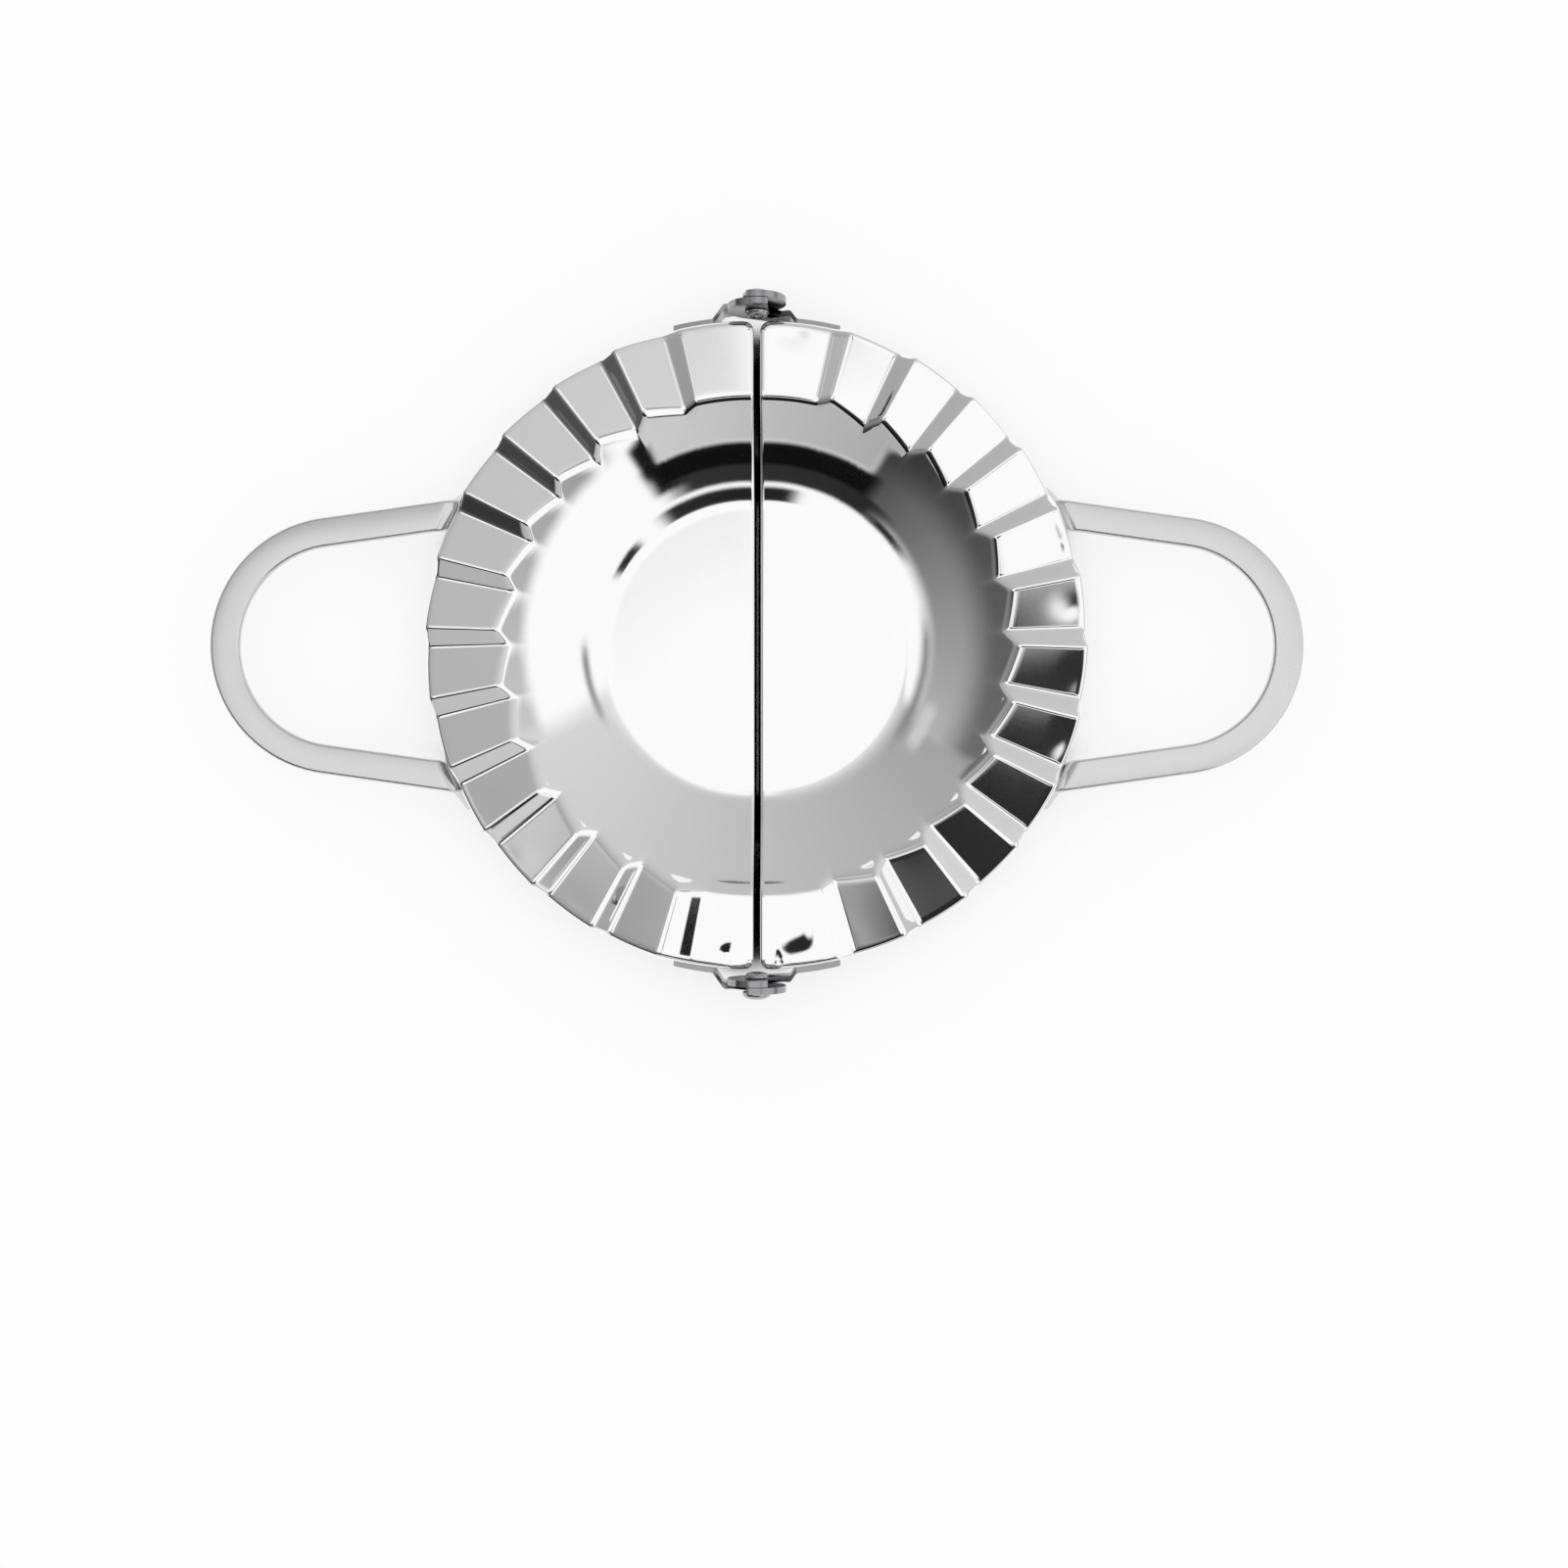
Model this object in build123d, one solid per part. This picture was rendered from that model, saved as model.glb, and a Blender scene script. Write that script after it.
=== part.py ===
from build123d import *
import os
from math import asin, atan2, cos, degrees, hypot, radians, sin, sqrt, tan

# Hinged dumpling maker, pressed from stainless steel sheet, lying open and flat.
# Two half-round pans swing on one line of rivets and fold face to face.
# Millimetres. Z is up and z = 0 is the underside of the flat bowl floors.
# X runs from handle to handle, and Y runs along the split between the halves.
# The right-hand half is on +X, and the far hinge is on +Y.

# Sheet and plan of one half pan
sheet = 0.6
split_gap = 0.8            # between the two straight edges
arc_offset = 1.0           # from the hinge line to the centre of a half's arcs
rim_radius = 46.5
corner_radius = 1.5        # where the skirt turns into the straight edge

# Bowl, like a shallow soup plate: flat floor and a hollow curved wall of conical bands
floor_radius = 21.2
wall_radius = 25.0         # of the arc that the bands follow, in section
wall_bands = 5
mouth_radius = 35.3        # at the mean height of the rim
bowl_depth = 8.2

# Crimping rim
crimp_count = 13
crimp_pitch = 12.6         # degrees from one steep strip to the next
strip_angle = 3.2          # degrees that a steep strip takes
crimp_height = 2.3         # from the low to the high side of a strip, at the rim
fold_shift = 1.1           # from the arc centre towards the far hinge, to where the folds meet

# Turned down edges
skirt_height = 7.0
flange_depth = 2.5         # along the split

# Handles, stamped from strip and bent down onto the skirt
handle_thickness = 1.2
handle_width = 4.25
handle_drop = 1.2          # from the mean rim height down to the handle's top
loop_reach = 78.7          # from the hinge line to the tip of the loop
loop_radius = 18.6         # outside of the round end
arm_spread = 8.0           # degrees that each arm opens towards the pan
bend_radius = 2.0          # outside of the bend
foot_margin = 0.4          # from a foot or strap to the lower edge of the skirt

# Hinge
closed_gap = 1.0           # room for dough between the closed rims
strap_thickness = 0.9
strap_reach = 12.0         # from the hinge line to the strap's end
strap_drop = 1.7           # from the mean rim height down to the strap's top
ear_radius = 4.2
ear_clearance = 0.2        # from a strap's outside to the inner ear
ear_gap = 0.1              # between the two ears
jog_start = 4.8            # from the hinge line to the bend out of the ear
inner_jog_run = 0.9        # along X, for the small step of the inner ear
outer_jog_run = 1.6        # along X, for the larger step of the outer ear
jog_fillet = 0.5           # on the bends of the jog

# Rivets
shank_radius = 1.25
running_clearance = 0.05   # around the shank and at its clinched end
head_radius = 2.0
head_height = 1.15
head_round = 0.45
clinch_radius = 1.7
clinch_height = 0.75
clinch_dimple_radius = 0.7
clinch_dimple_depth = 0.45

# Values that follow from the sizes above
rim_z = sheet + bowl_depth
skirt_z = rim_z - skirt_height
hinge_z = rim_z + closed_gap / 2
handle_z = rim_z - handle_drop
foot_z = skirt_z + foot_margin
inner_ear_y = rim_radius + strap_thickness + ear_clearance
outer_ear_y = inner_ear_y + strap_thickness + ear_gap
beyond = 2 * rim_radius
arc_centre = Vector(arc_offset, 0, 0)


def polar_point(angle, radius, height):
    """A point at an angle in degrees from the far hinge, about the right arc centre."""
    turn = radians(angle)
    return Vector(arc_offset + radius * sin(turn), radius * cos(turn), height)


def crimp_breaks():
    """Angle and height of each fold line where it crosses the rim of the right half."""
    half = crimp_height / 2
    last = crimp_count - 1
    breaks = [(0, 0)]
    for index in range(crimp_count):
        centre = 90 + crimp_pitch * (index - last / 2)
        before = 0 if index == 0 else -half
        after = 0 if index == last else half
        breaks.append((centre - strip_angle / 2, before))
        breaks.append((centre + strip_angle / 2, after))
    return breaks + [(180, 0)]


def block_under_rim(depth, shift):
    """Solid below the folded rim surface, lowered by depth.

    Every facet and strip is a plane through one point, shift along Y from the arc axis,
    so the folds are radial about it and their height grows with the radius.
    """
    reach = beyond
    bottom = -beyond
    level = rim_z - depth
    apex = arc_centre + Vector(0, 0, level)
    top = [
        polar_point(angle, reach, level + height * reach / rim_radius)
        for angle, height in crimp_breaks()
    ]
    outline = top + [Vector(-reach, -reach, level), Vector(-reach, reach, level)]
    base = [Vector(point.X, point.Y, bottom) for point in outline]

    faces = [
        Face(Wire.make_polygon([apex, first, second]))
        for first, second in zip(top, top[1:])
    ]
    faces.append(Face(Wire.make_polygon(outline[-2:] + [top[0], apex, top[-1]])))
    for index, corner in enumerate(outline):
        after = (index + 1) % len(outline)
        side = [corner, outline[after], base[after], base[index]]
        faces.append(Face(Wire.make_polygon(side)))
    faces.append(Face(Wire.make_polygon(base)))
    return Pos(0, shift) * Solid(Shell(faces))


def half_disc(inset):
    """Plan of the right half, drawn in by inset all round."""
    radius = rim_radius - inset
    edge = split_gap / 2 + inset
    disc = Pos(arc_offset, 0) * Circle(radius)
    plan = disc & Pos(edge + radius, 0) * Rectangle(2 * radius, 3 * radius)
    return fillet(plan.vertices(), max(corner_radius - inset, sheet / 4))


def half_prism(inset):
    """Upright block on the plan of the right half."""
    return Pos(0, 0, -beyond) * extrude(half_disc(inset), 2 * beyond)


def wall_corners():
    """Corners of the wall in section, evenly spaced on its arc from the floor to the mouth."""
    run = mouth_radius - floor_radius
    chord = hypot(run, bowl_depth)
    lean = atan2(bowl_depth, run)
    half = asin(chord / (2 * wall_radius))
    centre_x = floor_radius - wall_radius * sin(lean - half)
    centre_z = sheet + wall_radius * cos(lean - half)
    corners = []
    for step in range(wall_bands + 1):
        slope = lean - half + 2 * half * step / wall_bands
        x = centre_x + wall_radius * sin(slope)
        corners.append(Vector(x, centre_z - wall_radius * cos(slope)))
    return corners


def bowl_hollow(depth):
    """Solid that fills the bowl, grown by depth past its inner surface."""
    corners = wall_corners()
    top = rim_z + 2 * crimp_height
    climb = (corners[-1] - corners[-2]).normalized()
    rim = corners[-1] + climb * ((top - rim_z) / climb.Y)
    half = [Vector(0, sheet), *corners[:-1], rim, Vector(0, top)]
    section = make_face(Polyline(*half, close=True))
    if depth > 0:
        whole = section + mirror(section, Plane.YZ)
        whole = offset(whole.clean(), depth, kind=Kind.INTERSECTION)
        section = whole & Pos(beyond, 0) * Rectangle(2 * beyond, 4 * beyond)
    return Pos(arc_centre) * revolve(Plane.XZ * section, Axis.Z, 360)


def formed_block(depth, shift):
    """Solid below the pan's top surface, shrunk by depth on every formed side."""
    return (block_under_rim(depth, shift) & half_prism(depth)) - bowl_hollow(depth)


def pan(shift):
    """Half pan: crimped rim, bowl, skirt and the flange along the split."""
    shell = formed_block(0, shift) - formed_block(sheet, shift)

    core_radius = (rim_radius + mouth_radius) / 2
    core = Pos(arc_offset, 0, -beyond) * extrude(Circle(core_radius + flange_depth), 2 * beyond)
    shell -= (block_under_rim(flange_depth, shift) & core) - bowl_hollow(flange_depth)

    ring = Circle(beyond) - Circle(core_radius)
    shell -= Pos(arc_offset, 0, skirt_z - beyond) * extrude(ring, beyond)
    shell -= Pos(0, 0, -beyond) * extrude(Circle(beyond), beyond)
    return shell


def arm_band(radius):
    """Plan of the handle inside one edge of the strip, whose round end has this radius."""
    centre_x = loop_reach - loop_radius
    spread = radians(arm_spread)
    touch = Vector(centre_x + radius * sin(spread), radius * cos(spread), 0)
    length = (touch.X - rim_radius / 2) / cos(spread)
    end = touch + Vector(-cos(spread), sin(spread), 0) * length
    lower_touch = Vector(touch.X, -touch.Y, 0)
    lower_end = Vector(end.X, -end.Y, 0)
    outline = [
        ThreePointArc(touch, (centre_x + radius, 0), lower_touch),
        Line(lower_touch, lower_end),
        Line(lower_end, end),
        Line(end, touch),
    ]
    return make_face(Curve() + outline)


def arm_meeting_angle():
    """Angle from +X, in degrees, at which the middle of the upper arm meets the skirt."""
    spread = radians(arm_spread)
    middle = loop_radius - handle_width / 2
    lever = (loop_reach - loop_radius - arc_offset) * sin(spread) + middle
    return degrees(asin(lever / rim_radius)) - arm_spread


def handle_bend_profile():
    """Section across a bend, in distance from the arc axis and height: arm, bend and foot."""
    inner = bend_radius - handle_thickness
    centre = Vector(rim_radius + bend_radius, handle_z - bend_radius)
    up = Vector(0, 1)
    across = Vector(-1, 0)
    lean = (up + across).normalized()
    far_top = Vector(2 * loop_reach, handle_z)
    far_under = far_top - up * handle_thickness
    outer_top, outer_side = centre + up * bend_radius, centre + across * bend_radius
    inner_top, inner_side = centre + up * inner, centre + across * inner
    outline = [
        Line(far_top, outer_top),
        ThreePointArc(outer_top, centre + lean * bend_radius, outer_side),
        Line(outer_side, inner_side),
        ThreePointArc(inner_side, centre + lean * inner, inner_top),
        Line(inner_top, far_under),
        Line(far_under, far_top),
    ]
    return make_face(Curve() + outline)


def half_handle():
    """Upper half of the right loop, its end rolled down onto the skirt and slanted with the arm."""
    band = arm_band(loop_radius) - arm_band(loop_radius - handle_width)
    band &= Pos(0, beyond) * Rectangle(4 * beyond, 2 * beyond)
    turn = radians(arm_meeting_angle())
    outward = Vector(cos(turn), sin(turn), 0)
    tangent = Vector(-sin(turn), cos(turn), 0)
    across = Plane(arc_centre, x_dir=outward, z_dir=-tangent)
    bend_z = handle_z - bend_radius
    arm = Pos(0, 0, bend_z) * band
    bent = extrude(across * handle_bend_profile(), beyond, both=True)
    body = extrude(arm, 2 * bend_radius) & bent

    drop = bend_z - foot_z
    path = tangent * (drop * tan(turn + radians(arm_spread))) + Vector(0, 0, -drop)
    slab = Pos(rim_radius + handle_thickness / 2, bend_z) * Rectangle(handle_thickness, 4 * drop)
    foot = extrude(arm, path.length, dir=path.normalized())
    foot &= extrude(across * slab, beyond, both=True)
    return body + foot


def handle():
    """Loop handle of the right half."""
    upper = half_handle()
    return (upper + mirror(upper, Plane.XZ)).clean()


def skirt_y(x, radius):
    """Y of the circle of this radius about the right arc centre, at the given x."""
    return sqrt(radius ** 2 - (x - arc_offset) ** 2)


def strap_plan(ear_y, jog_run):
    """Plan of a hinge bracket: flat ear, sloping jog, and a strap that hugs the skirt."""
    jog_end = jog_start + jog_run
    outer = rim_radius + strap_thickness
    middle = (jog_end + strap_reach) / 2
    tip_angle = atan2(strap_reach - arc_offset, skirt_y(strap_reach, rim_radius))
    tip_inner = polar_point(degrees(tip_angle), rim_radius, 0)
    tip_outer = polar_point(degrees(tip_angle), outer, 0)
    root_inner = (jog_end, skirt_y(jog_end, rim_radius))
    root_outer = (jog_end, skirt_y(jog_end, outer))
    far_x = -2 * ear_radius
    outline = [
        Line((far_x, ear_y), (jog_start, ear_y)),
        Line((jog_start, ear_y), root_inner),
        ThreePointArc(root_inner, (middle, skirt_y(middle, rim_radius)), tip_inner),
        Line(tip_inner, tip_outer),
        ThreePointArc(tip_outer, (middle, skirt_y(middle, outer)), root_outer),
        Line(root_outer, (jog_start, ear_y + strap_thickness)),
        Line((jog_start, ear_y + strap_thickness), (far_x, ear_y + strap_thickness)),
        Line((far_x, ear_y + strap_thickness), (far_x, ear_y)),
    ]
    plan = make_face(Curve() + outline)
    bends = plan.vertices().filter_by(lambda corner: jog_start <= round(corner.X, 6) <= round(jog_end, 6))
    return fillet(bends, jog_fillet)


def ear_outline(jog_run):
    """Side view of a bracket: round ear, sloping shoulder and the strap's straight body."""
    jog_end = jog_start + jog_run
    strap_top = rim_z - strap_drop
    root = [
        (jog_end, foot_z),
        (jog_end, strap_top),
        (jog_start, strap_top),
        (jog_start, foot_z),
    ]
    body = Polyline(*root, close=True)
    ear = make_hull(body.edges() + (Pos(0, hinge_z) * Circle(ear_radius)).edges())
    length = strap_reach - jog_start + strap_thickness
    strap = Pos(jog_start + length / 2, (foot_z + strap_top) / 2) * Rectangle(length, strap_top - foot_z)
    return ear + strap


def bracket(ear_y, jog_run, hole_radius):
    """Hinge bracket of the right half, at the far end of the split."""
    plan = extrude(strap_plan(ear_y, jog_run), 2 * hinge_z)
    facing = Plane.XZ.offset(-beyond)
    side = extrude(facing * ear_outline(jog_run), beyond)
    hole = extrude(facing * (Pos(0, hinge_z) * Circle(hole_radius)), beyond)
    return (plan & side) - hole


def rivet():
    """Far hinge rivet: domed outer head, plain shank, clinched inner end with its dimple."""
    grip_start = inner_ear_y - running_clearance
    grip_end = outer_ear_y + strap_thickness
    head_end = grip_end + head_height
    clinch_start = grip_start - clinch_height
    dimple_end = clinch_start + clinch_dimple_depth
    outline = Polyline(
        (0, dimple_end),
        (clinch_dimple_radius, dimple_end),
        (clinch_dimple_radius, clinch_start),
        (clinch_radius, clinch_start),
        (clinch_radius, grip_start),
        (shank_radius, grip_start),
        (shank_radius, grip_end),
        (head_radius, grip_end),
        (head_radius, head_end - head_round),
        (head_radius - head_round, head_end),
        (0, head_end),
        close=True,
    )
    turned = revolve(make_face(outline), Axis.Y, 360)
    return Pos(0, 0, hinge_z) * turned


def across_hinge(shape):
    """The same piece at the near end of the split."""
    return mirror(shape, Plane.XZ)


def across_split(shape):
    """The same piece on the left-hand half."""
    return mirror(shape, Plane.YZ)


def half_turn(shape):
    """The shape swung half round onto the left-hand half."""
    return Rot(0, 0, 180) * shape


right_handle = handle()
right_bracket = bracket(inner_ear_y, inner_jog_run, shank_radius + running_clearance)
left_bracket = across_split(bracket(outer_ear_y, outer_jog_run, shank_radius))
far_rivet = rivet()

nodes = {
    "left_pan": half_turn(pan(-fold_shift)),
    "right_pan": pan(fold_shift),
    "left_handle": half_turn(right_handle),
    "right_handle": right_handle,
    "left_far_bracket": left_bracket,
    "left_near_bracket": across_hinge(left_bracket),
    "right_far_bracket": right_bracket,
    "right_near_bracket": across_hinge(right_bracket),
    "far_rivet": far_rivet,
    "near_rivet": across_hinge(far_rivet),
}

os.makedirs("parts", exist_ok=True)
for name, shape in nodes.items():
    export_step(shape, f"parts/{name}.step")
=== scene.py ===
from math import acos, asin, atan2, cos, degrees, exp, hypot, pi, radians, sin, sqrt, tan

import bmesh
import bpy
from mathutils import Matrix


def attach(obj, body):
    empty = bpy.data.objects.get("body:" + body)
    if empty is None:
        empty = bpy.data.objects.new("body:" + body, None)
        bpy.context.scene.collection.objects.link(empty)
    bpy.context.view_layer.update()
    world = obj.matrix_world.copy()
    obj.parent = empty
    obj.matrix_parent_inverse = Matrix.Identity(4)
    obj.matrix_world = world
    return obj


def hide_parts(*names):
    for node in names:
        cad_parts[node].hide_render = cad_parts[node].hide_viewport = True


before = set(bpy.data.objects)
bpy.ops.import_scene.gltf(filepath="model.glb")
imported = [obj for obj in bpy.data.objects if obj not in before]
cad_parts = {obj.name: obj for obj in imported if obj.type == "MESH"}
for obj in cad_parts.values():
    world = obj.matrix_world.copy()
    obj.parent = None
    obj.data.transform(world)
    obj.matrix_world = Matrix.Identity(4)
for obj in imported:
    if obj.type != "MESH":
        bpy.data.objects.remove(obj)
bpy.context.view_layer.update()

# A hinged dumpling maker of polished steel sheet, lying open and flat.
# Lengths are in millimetres in the frame of the solids, and become metres in add_mesh.
MM = 0.001
WELD = 0.002                # points nearer than this become one
SHARP_ANGLE = 50            # between faces, from which an edge is drawn sharp

# Half pan: sheet, plan and bowl, as in the solids
SHEET = 0.6
HALF_GAP = 0.4
ARC_OFFSET = 1.0
RIM_RADIUS = 46.5
CORNER_RADIUS = 1.5
FLOOR_RADIUS = 20.5
FLOOR_FILLET = 6.0
WALL_RADIUS = 25.0
MOUTH_RADIUS = 35.3
RIM_Z = 8.8
SKIRT_Z = 1.8
FLANGE_DEPTH = 2.5

# Saw-tooth rim
CRIMP_COUNT = 13
CRIMP_PITCH = 12.6
STRIP_ANGLE = 3.2
CRIMP_HEIGHT = 2.3
FOLD_SHIFT = 1.1            # from the arc centre towards the far hinge, to where the folds meet

# Rounds of the folded sheet
EDGE_ROUND = 0.8            # rim to skirt
SPLIT_ROUND = 0.5           # rim to split
MOUTH_ROUND = 2.3           # rim to bowl wall
LEAST_ROUND = 0.05
FOLD_ROUND = 0.5            # degrees to each side of a radial fold
END_BEND = 2.6              # degrees before the left half's first fold, where its facet bends up
END_RISE = 0.42             # of that bend at the fold
FLUTE_DEPTH = 0.14          # of the waves in which the folds run out on the wall
FLUTE_LENGTH = 3.4          # down the wall from the mouth
FLUTE_BANK = 1.6            # steepness of a wave at the mouth, in depths per length
CORNER_ANGLE = 1.2          # degrees from the split where the plain rim begins
COLUMN_PITCH = 0.6          # degrees between the mesh columns of the rim

# Shallow dents that welding and forming left in the rim: angle from the far hinge on the
# right half or from the near hinge on the left, radius, length along the fold, width across
# it, and depth
RIGHT_DENTS = [
    (5.5, 44.6, 1.6, 2.6, 0.07),
    (59.5, 44.4, 1.0, 1.6, 0.05),
    (71.5, 44.6, 1.3, 2.2, 0.16),
    (84.0, 44.0, 2.0, 1.8, 0.08),
    (97.5, 44.8, 1.6, 2.4, 0.05),
    (109.0, 44.8, 1.4, 2.6, 0.1),
    (170.6, 45.4, 3.2, 3.2, 0.46),
    (175.2, 45.6, 2.8, 2.6, 0.28),
    (169.6, 41.3, 3.0, 1.6, 0.2),
]
LEFT_DENTS = [
    (3.8, 44.6, 1.5, 1.5, 0.32),
    (33.0, 44.4, 1.4, 2.2, 0.03),
    (46.0, 44.4, 1.4, 2.2, 0.05),
    (58.0, 44.0, 1.6, 2.2, 0.03),
]

# Handles
HANDLE_Z = 7.6
HANDLE_THICKNESS = 1.2
HANDLE_WIDTH = 4.25
LOOP_REACH = 78.69
LOOP_RADIUS = 18.6
ARM_SPREAD = 8.0
BEND_RADIUS = 2.0
FOOT_Z = 2.2
HANDLE_EDGE = 0.45
EDGE_STEPS = 5              # round each edge of the strip
FOOT_STEPS = (1, 0.97, 0.8, 0.6)
BEND_STEPS = 12
SHEAR_STEPS = 10            # along the arm, where the sections turn to lie along the bend
SHEAR_RUN = 2.5 * HANDLE_WIDTH
ARM_STEPS = (0.75, 0.5, 0.25)
LOOP_STEPS = 32             # round half of the loop

# Hinge brackets and rivets
HINGE_Z = 9.3
STRAP_THICKNESS = 0.9
STRAP_REACH = 12.0
STRAP_DROP = 1.7
EAR_RADIUS = 4.2
INNER_EAR_Y = 47.6
OUTER_EAR_Y = 48.6
JOG_START = 4.8
INNER_JOG_RUN = 0.9
OUTER_JOG_RUN = 1.6
JOG_FILLET = 0.5
OVERRUN = 1                 # of a bracket's plan line past its ends
EAR_SEAM = 3.6              # from the hinge line to where the ear's mesh meets the strap's
BEVEL_WIDTH = 0.12
BEVEL_ANGLE = 60            # between faces, from which an edge is rounded
SHANK_RADIUS = 1.25
CLEARANCE = 0.05
HEAD_RADIUS = 2.0
HEAD_HEIGHT = 1.15
CLINCH_RADIUS = 1.7
CLINCH_HEIGHT = 0.75
CLINCH_DIMPLE_DEPTH = 0.45
HEAD_EDGE = 0.35            # upright edge of the head, below its dome
DOME_STEPS = 10
RIVET_TURNS = 40

# Camera, straight above a point of the table to the near side of the press
FRAME_WIDTH = 224.3         # across the square picture, at the height of the rim
CAMERA_HEIGHT = 245.0       # above the rim
CAMERA_X = 3.9
CAMERA_Y = -19.9
SENSOR = 36.0


def add_mesh(name, points, faces, body, replaced):
    """Mesh object from points in millimetres, riding on a body in place of CAD nodes."""
    mesh = bpy.data.meshes.new(name)
    mesh.from_pydata([tuple(c * MM for c in p) for p in points], [], faces)
    work = bmesh.new()
    work.from_mesh(mesh)
    bmesh.ops.remove_doubles(work, verts=work.verts, dist=WELD * MM)
    bmesh.ops.dissolve_degenerate(work, edges=work.edges, dist=WELD / 4 * MM)
    bmesh.ops.recalc_face_normals(work, faces=work.faces)
    work.to_mesh(mesh)
    work.free()
    mesh.shade_smooth()
    mesh.set_sharp_from_angle(angle=radians(SHARP_ANGLE))
    piece = bpy.data.objects.new(name, mesh)
    bpy.context.scene.collection.objects.link(piece)
    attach(piece, body)
    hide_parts(*replaced)
    return piece


def unit(x, y):
    length = hypot(x, y)
    return x / length, y / length


def round_corner(corner, incoming, outgoing, radius, steps):
    """Points of the arc that rounds a corner between two directions of travel."""
    cross = incoming[0] * outgoing[1] - incoming[1] * outgoing[0]
    dot = incoming[0] * outgoing[0] + incoming[1] * outgoing[1]
    turn = atan2(cross, dot)
    reach = radius * tan(abs(turn) / 2)
    side = 1 if turn > 0 else -1
    start = (corner[0] - incoming[0] * reach, corner[1] - incoming[1] * reach)
    normal = (-incoming[1] * side, incoming[0] * side)
    centre = (start[0] + normal[0] * radius, start[1] + normal[1] * radius)
    points = []
    for step in range(steps + 1):
        angle = turn * step / steps
        x, y = -normal[0] * radius, -normal[1] * radius
        points.append((
            centre[0] + x * cos(angle) - y * sin(angle),
            centre[1] + x * sin(angle) + y * cos(angle),
        ))
    return points


def between(start, end, fractions):
    return [
        (start[0] + (end[0] - start[0]) * f, start[1] + (end[1] - start[1]) * f)
        for f in fractions
    ]


def wall_centre():
    """Centre of the wall's arc, tangent to the fillet and through the mouth."""
    reach = WALL_RADIUS - FLOOR_FILLET
    run = MOUTH_RADIUS - FLOOR_RADIUS
    rise = RIM_Z - SHEET - FLOOR_FILLET
    span = hypot(run, rise)
    along = (reach ** 2 - WALL_RADIUS ** 2 + span ** 2) / (2 * span)
    across = sqrt(reach ** 2 - along ** 2)
    x = FLOOR_RADIUS + (along * run - across * rise) / span
    z = SHEET + FLOOR_FILLET + (along * rise + across * run) / span
    return x, z


WALL_X, WALL_Z = wall_centre()
WALL_FOOT = atan2(FLOOR_RADIUS - WALL_X, WALL_Z - SHEET - FLOOR_FILLET)
WALL_LIP = atan2(MOUTH_RADIUS - WALL_X, WALL_Z - RIM_Z)
SKIRT_STEPS = (0, 0.5, 0.96)
FOLD_STEPS = 6
RIM_STEPS = [step / 16 for step in range(1, 16)]
MOUTH_STEPS = 8
WALL_STEPS = (
    0.02, 0.04, 0.07, 0.1, 0.13, 0.17, 0.21, 0.26, 0.32, 0.4, 0.5, 0.6, 0.7, 0.8, 0.9, 0.98,
)
FILLET_STEPS = 7
FLOOR_STEPS = (0.03, 0.25, 0.5, 0.75, 1)
OUTER_ROW = len(SKIRT_STEPS) + FOLD_STEPS     # where the rim's round ends and its flat begins


def wall_point(beyond, offset):
    """Point of the wall, beyond the lip along its tangent, or before it along the arc."""
    angle = WALL_LIP + min(beyond, 0) / (WALL_RADIUS + offset)
    x = WALL_X + (WALL_RADIUS + offset) * sin(angle) + max(beyond, 0) * cos(angle)
    z = WALL_Z - (WALL_RADIUS + offset) * cos(angle) + max(beyond, 0) * sin(angle)
    return x, z


def section(height, depth, start=0):
    """Radius and height along the sheet, from the skirt's lower edge to the bowl's centre.

    height is how far the rim stands above its mean at the rim radius from where the folds
    meet, start is how far out along the section they meet, and depth is how far the line
    lies under the sheet's upper side.
    """
    slope = height / RIM_RADIUS
    radius = RIM_RADIUS - depth
    level = RIM_Z - depth - slope * start
    rim_corner = (radius, level + slope * radius)
    beyond = 0
    for _ in range(6):
        x, z = wall_point(beyond, depth)
        beyond += (level + slope * x - z) / (sin(WALL_LIP) - slope * cos(WALL_LIP))
    mouth = wall_point(beyond, depth)
    steepness = WALL_LIP + min(beyond, 0) / (WALL_RADIUS + depth)
    inward = unit(-1, -slope)
    flute = FLUTE_DEPTH * min(2 * height / CRIMP_HEIGHT, 0)
    side_step = flute / sin(steepness)
    mouth = (mouth[0] + inward[0] * side_step, mouth[1] + inward[1] * side_step)
    bank = steepness + FLUTE_BANK * flute / FLUTE_LENGTH
    down_wall = (-cos(bank), -sin(bank))

    edge_round = max(EDGE_ROUND - depth, LEAST_ROUND)
    fold = round_corner(rim_corner, (0, 1), inward, edge_round, FOLD_STEPS)
    mouth_round = max(MOUTH_ROUND - depth, LEAST_ROUND)
    lip = round_corner(mouth, inward, down_wall, mouth_round, MOUTH_STEPS)
    path = between((radius, SKIRT_Z), fold[0], SKIRT_STEPS) + fold
    path += between(fold[-1], lip[0], RIM_STEPS) + lip
    wall_top = beyond - hypot(lip[-1][0] - mouth[0], lip[-1][1] - mouth[1])
    wall_foot = -(WALL_LIP - WALL_FOOT) * (WALL_RADIUS + depth)
    for fraction in WALL_STEPS:
        along = wall_top + (wall_foot - wall_top) * fraction
        x, z = wall_point(along, depth)
        fade = max(1 - (beyond - along) / FLUTE_LENGTH, 0) ** 2
        lean = WALL_LIP + min(along, 0) / (WALL_RADIUS + depth)
        path.append((x - sin(lean) * flute * fade, z + cos(lean) * flute * fade))
    for step in range(FILLET_STEPS + 1):
        angle = WALL_FOOT * (1 - step / FILLET_STEPS)
        bend = FLOOR_FILLET + depth
        path.append((FLOOR_RADIUS + bend * sin(angle), SHEET + FLOOR_FILLET - bend * cos(angle)))
    path += between(path[-1], (0, SHEET - depth), FLOOR_STEPS)
    return path


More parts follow.
